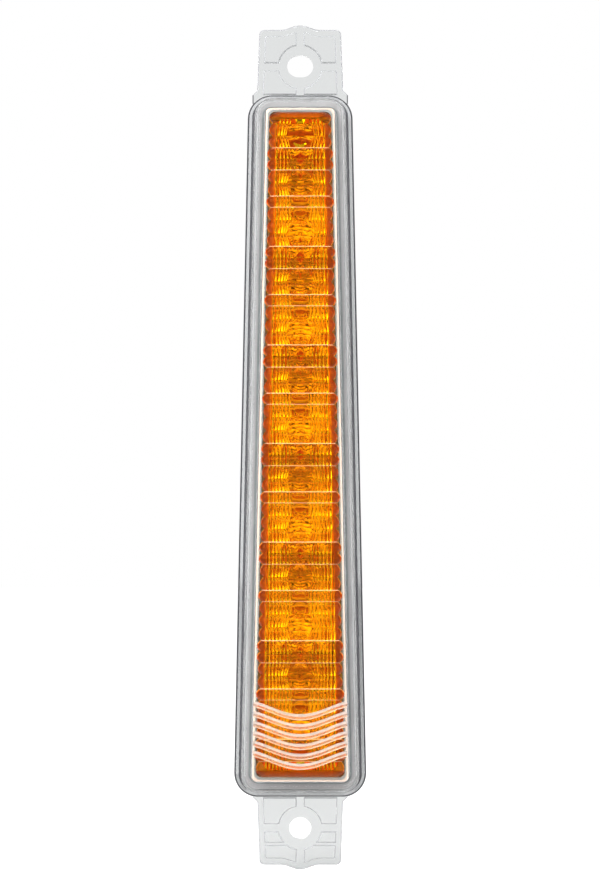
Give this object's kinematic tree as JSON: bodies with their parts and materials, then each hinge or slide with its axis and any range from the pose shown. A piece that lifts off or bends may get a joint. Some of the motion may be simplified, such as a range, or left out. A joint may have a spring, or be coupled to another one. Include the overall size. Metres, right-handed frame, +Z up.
{
  "type": "vehicle indicator lamp",
  "caption": "Slim tapered indicator lamp: clear moulded cover with a fixing ear at each end over a fluted amber lens, a strip reflector with diodes and a flat rear housing.",
  "frame": {"origin": "on the mounting face, midway between the two fixing holes", "axes": "+Z up along the lamp towards its narrow end, -Y the way the lamp shines, +Y into the panel it is fixed to, +X to the right of someone behind the lamp facing the way it shines"},
  "size_m": [0.033, 0.019, 0.2106],
  "materials": {
    "clear_cover": "clear acrylic, polished",
    "amber_optic": "amber acrylic, polished",
    "bright_reflector": "vacuum metallised plastic",
    "board": "white solder mask",
    "housing": "moulded, fine grain",
    "sealant": "cured bead, satin",
    "grommet_rubber": "moulded, satin",
    "screw_steel": "zinc plated",
    "diode_body": "moulded",
    "chip_body": "moulded",
    "ceramic_part": "fired, matt",
    "socket_plastic": "moulded"
  },
  "bodies": {
    "root": {"cover_lens": "clear_cover", "amber_lens": "amber_optic", "reflector": "bright_reflector", "circuit_board": "board", "rear_housing": "housing", "sealing_bead": "sealant", "cable_grommet": "grommet_rubber", "board_screws": "screw_steel", "led_1": "diode_body", "led_2": "diode_body", "led_3": "diode_body", "led_4": "diode_body", "led_5": "diode_body", "led_6": "diode_body", "resistor_1": "chip_body", "resistor_2": "chip_body", "resistor_3": "chip_body", "resistor_4": "chip_body", "resistor_5": "chip_body", "resistor_6": "chip_body", "driver_chip": "chip_body", "protection_diode": "chip_body", "smoothing_capacitor": "ceramic_part", "cable_connector": "socket_plastic"}
  },
  "joints": []
}
